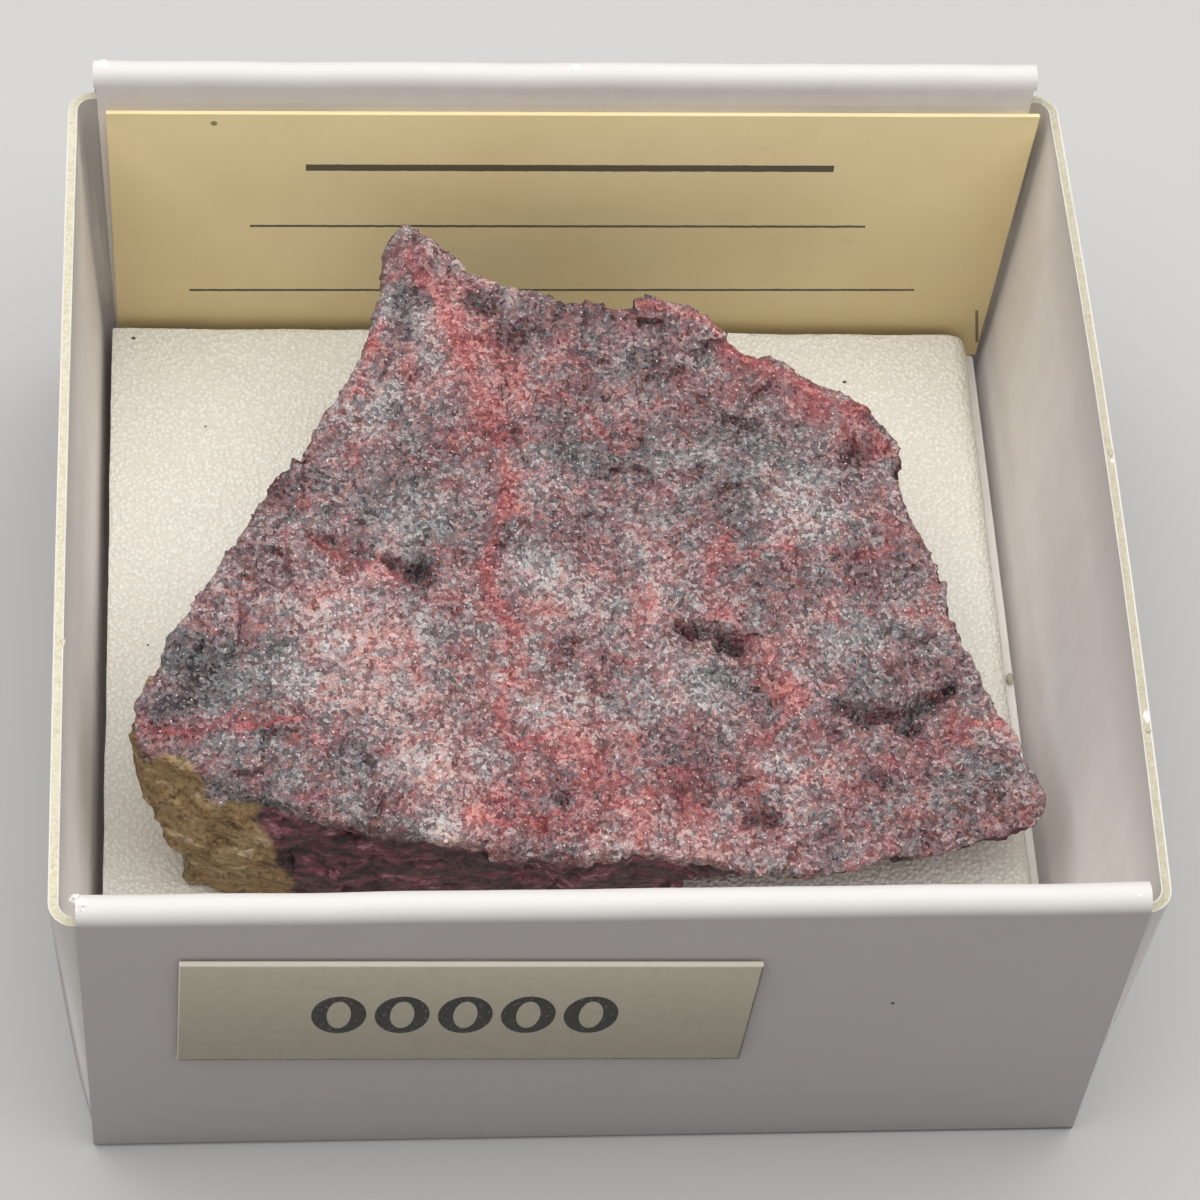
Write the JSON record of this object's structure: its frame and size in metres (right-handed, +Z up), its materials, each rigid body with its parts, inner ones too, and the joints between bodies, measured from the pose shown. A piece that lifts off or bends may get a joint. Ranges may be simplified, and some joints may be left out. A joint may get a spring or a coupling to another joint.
{
  "type": "cinnabar specimen in a card tray",
  "caption": "Broken lump of grey and red granular cinnabar-bearing rock, lying on a white foam sheet in an open folded card tray, with a card standing behind it and a small label in front.",
  "frame": {"origin": "the middle of the tray's flat underside, halfway between its two side walls and between its front and back folds", "axes": "+X to the right along the front wall, +Y to the back where the card stands, +Z up"},
  "size_m": [0.0425, 0.0413, 0.0196],
  "materials": {
    "cinnabar_quartz": "broken granular rock, grey quartz with crimson cinnabar",
    "white_card": "white paper-lined thin card, raw cut rims",
    "liner_sheet": "smooth white foam sheet",
    "foam_sheet": "off-white cellular foam with glossy small cells",
    "cream_card": "matt cream card",
    "cream_paper": "matt cream paper"
  },
  "bodies": {
    "root": {"stone": "cinnabar_quartz", "card_tray": "white_card", "base_liner": "liner_sheet", "foam_pad": "foam_sheet", "name_card": "cream_card", "number_label": "cream_paper"}
  },
  "joints": []
}
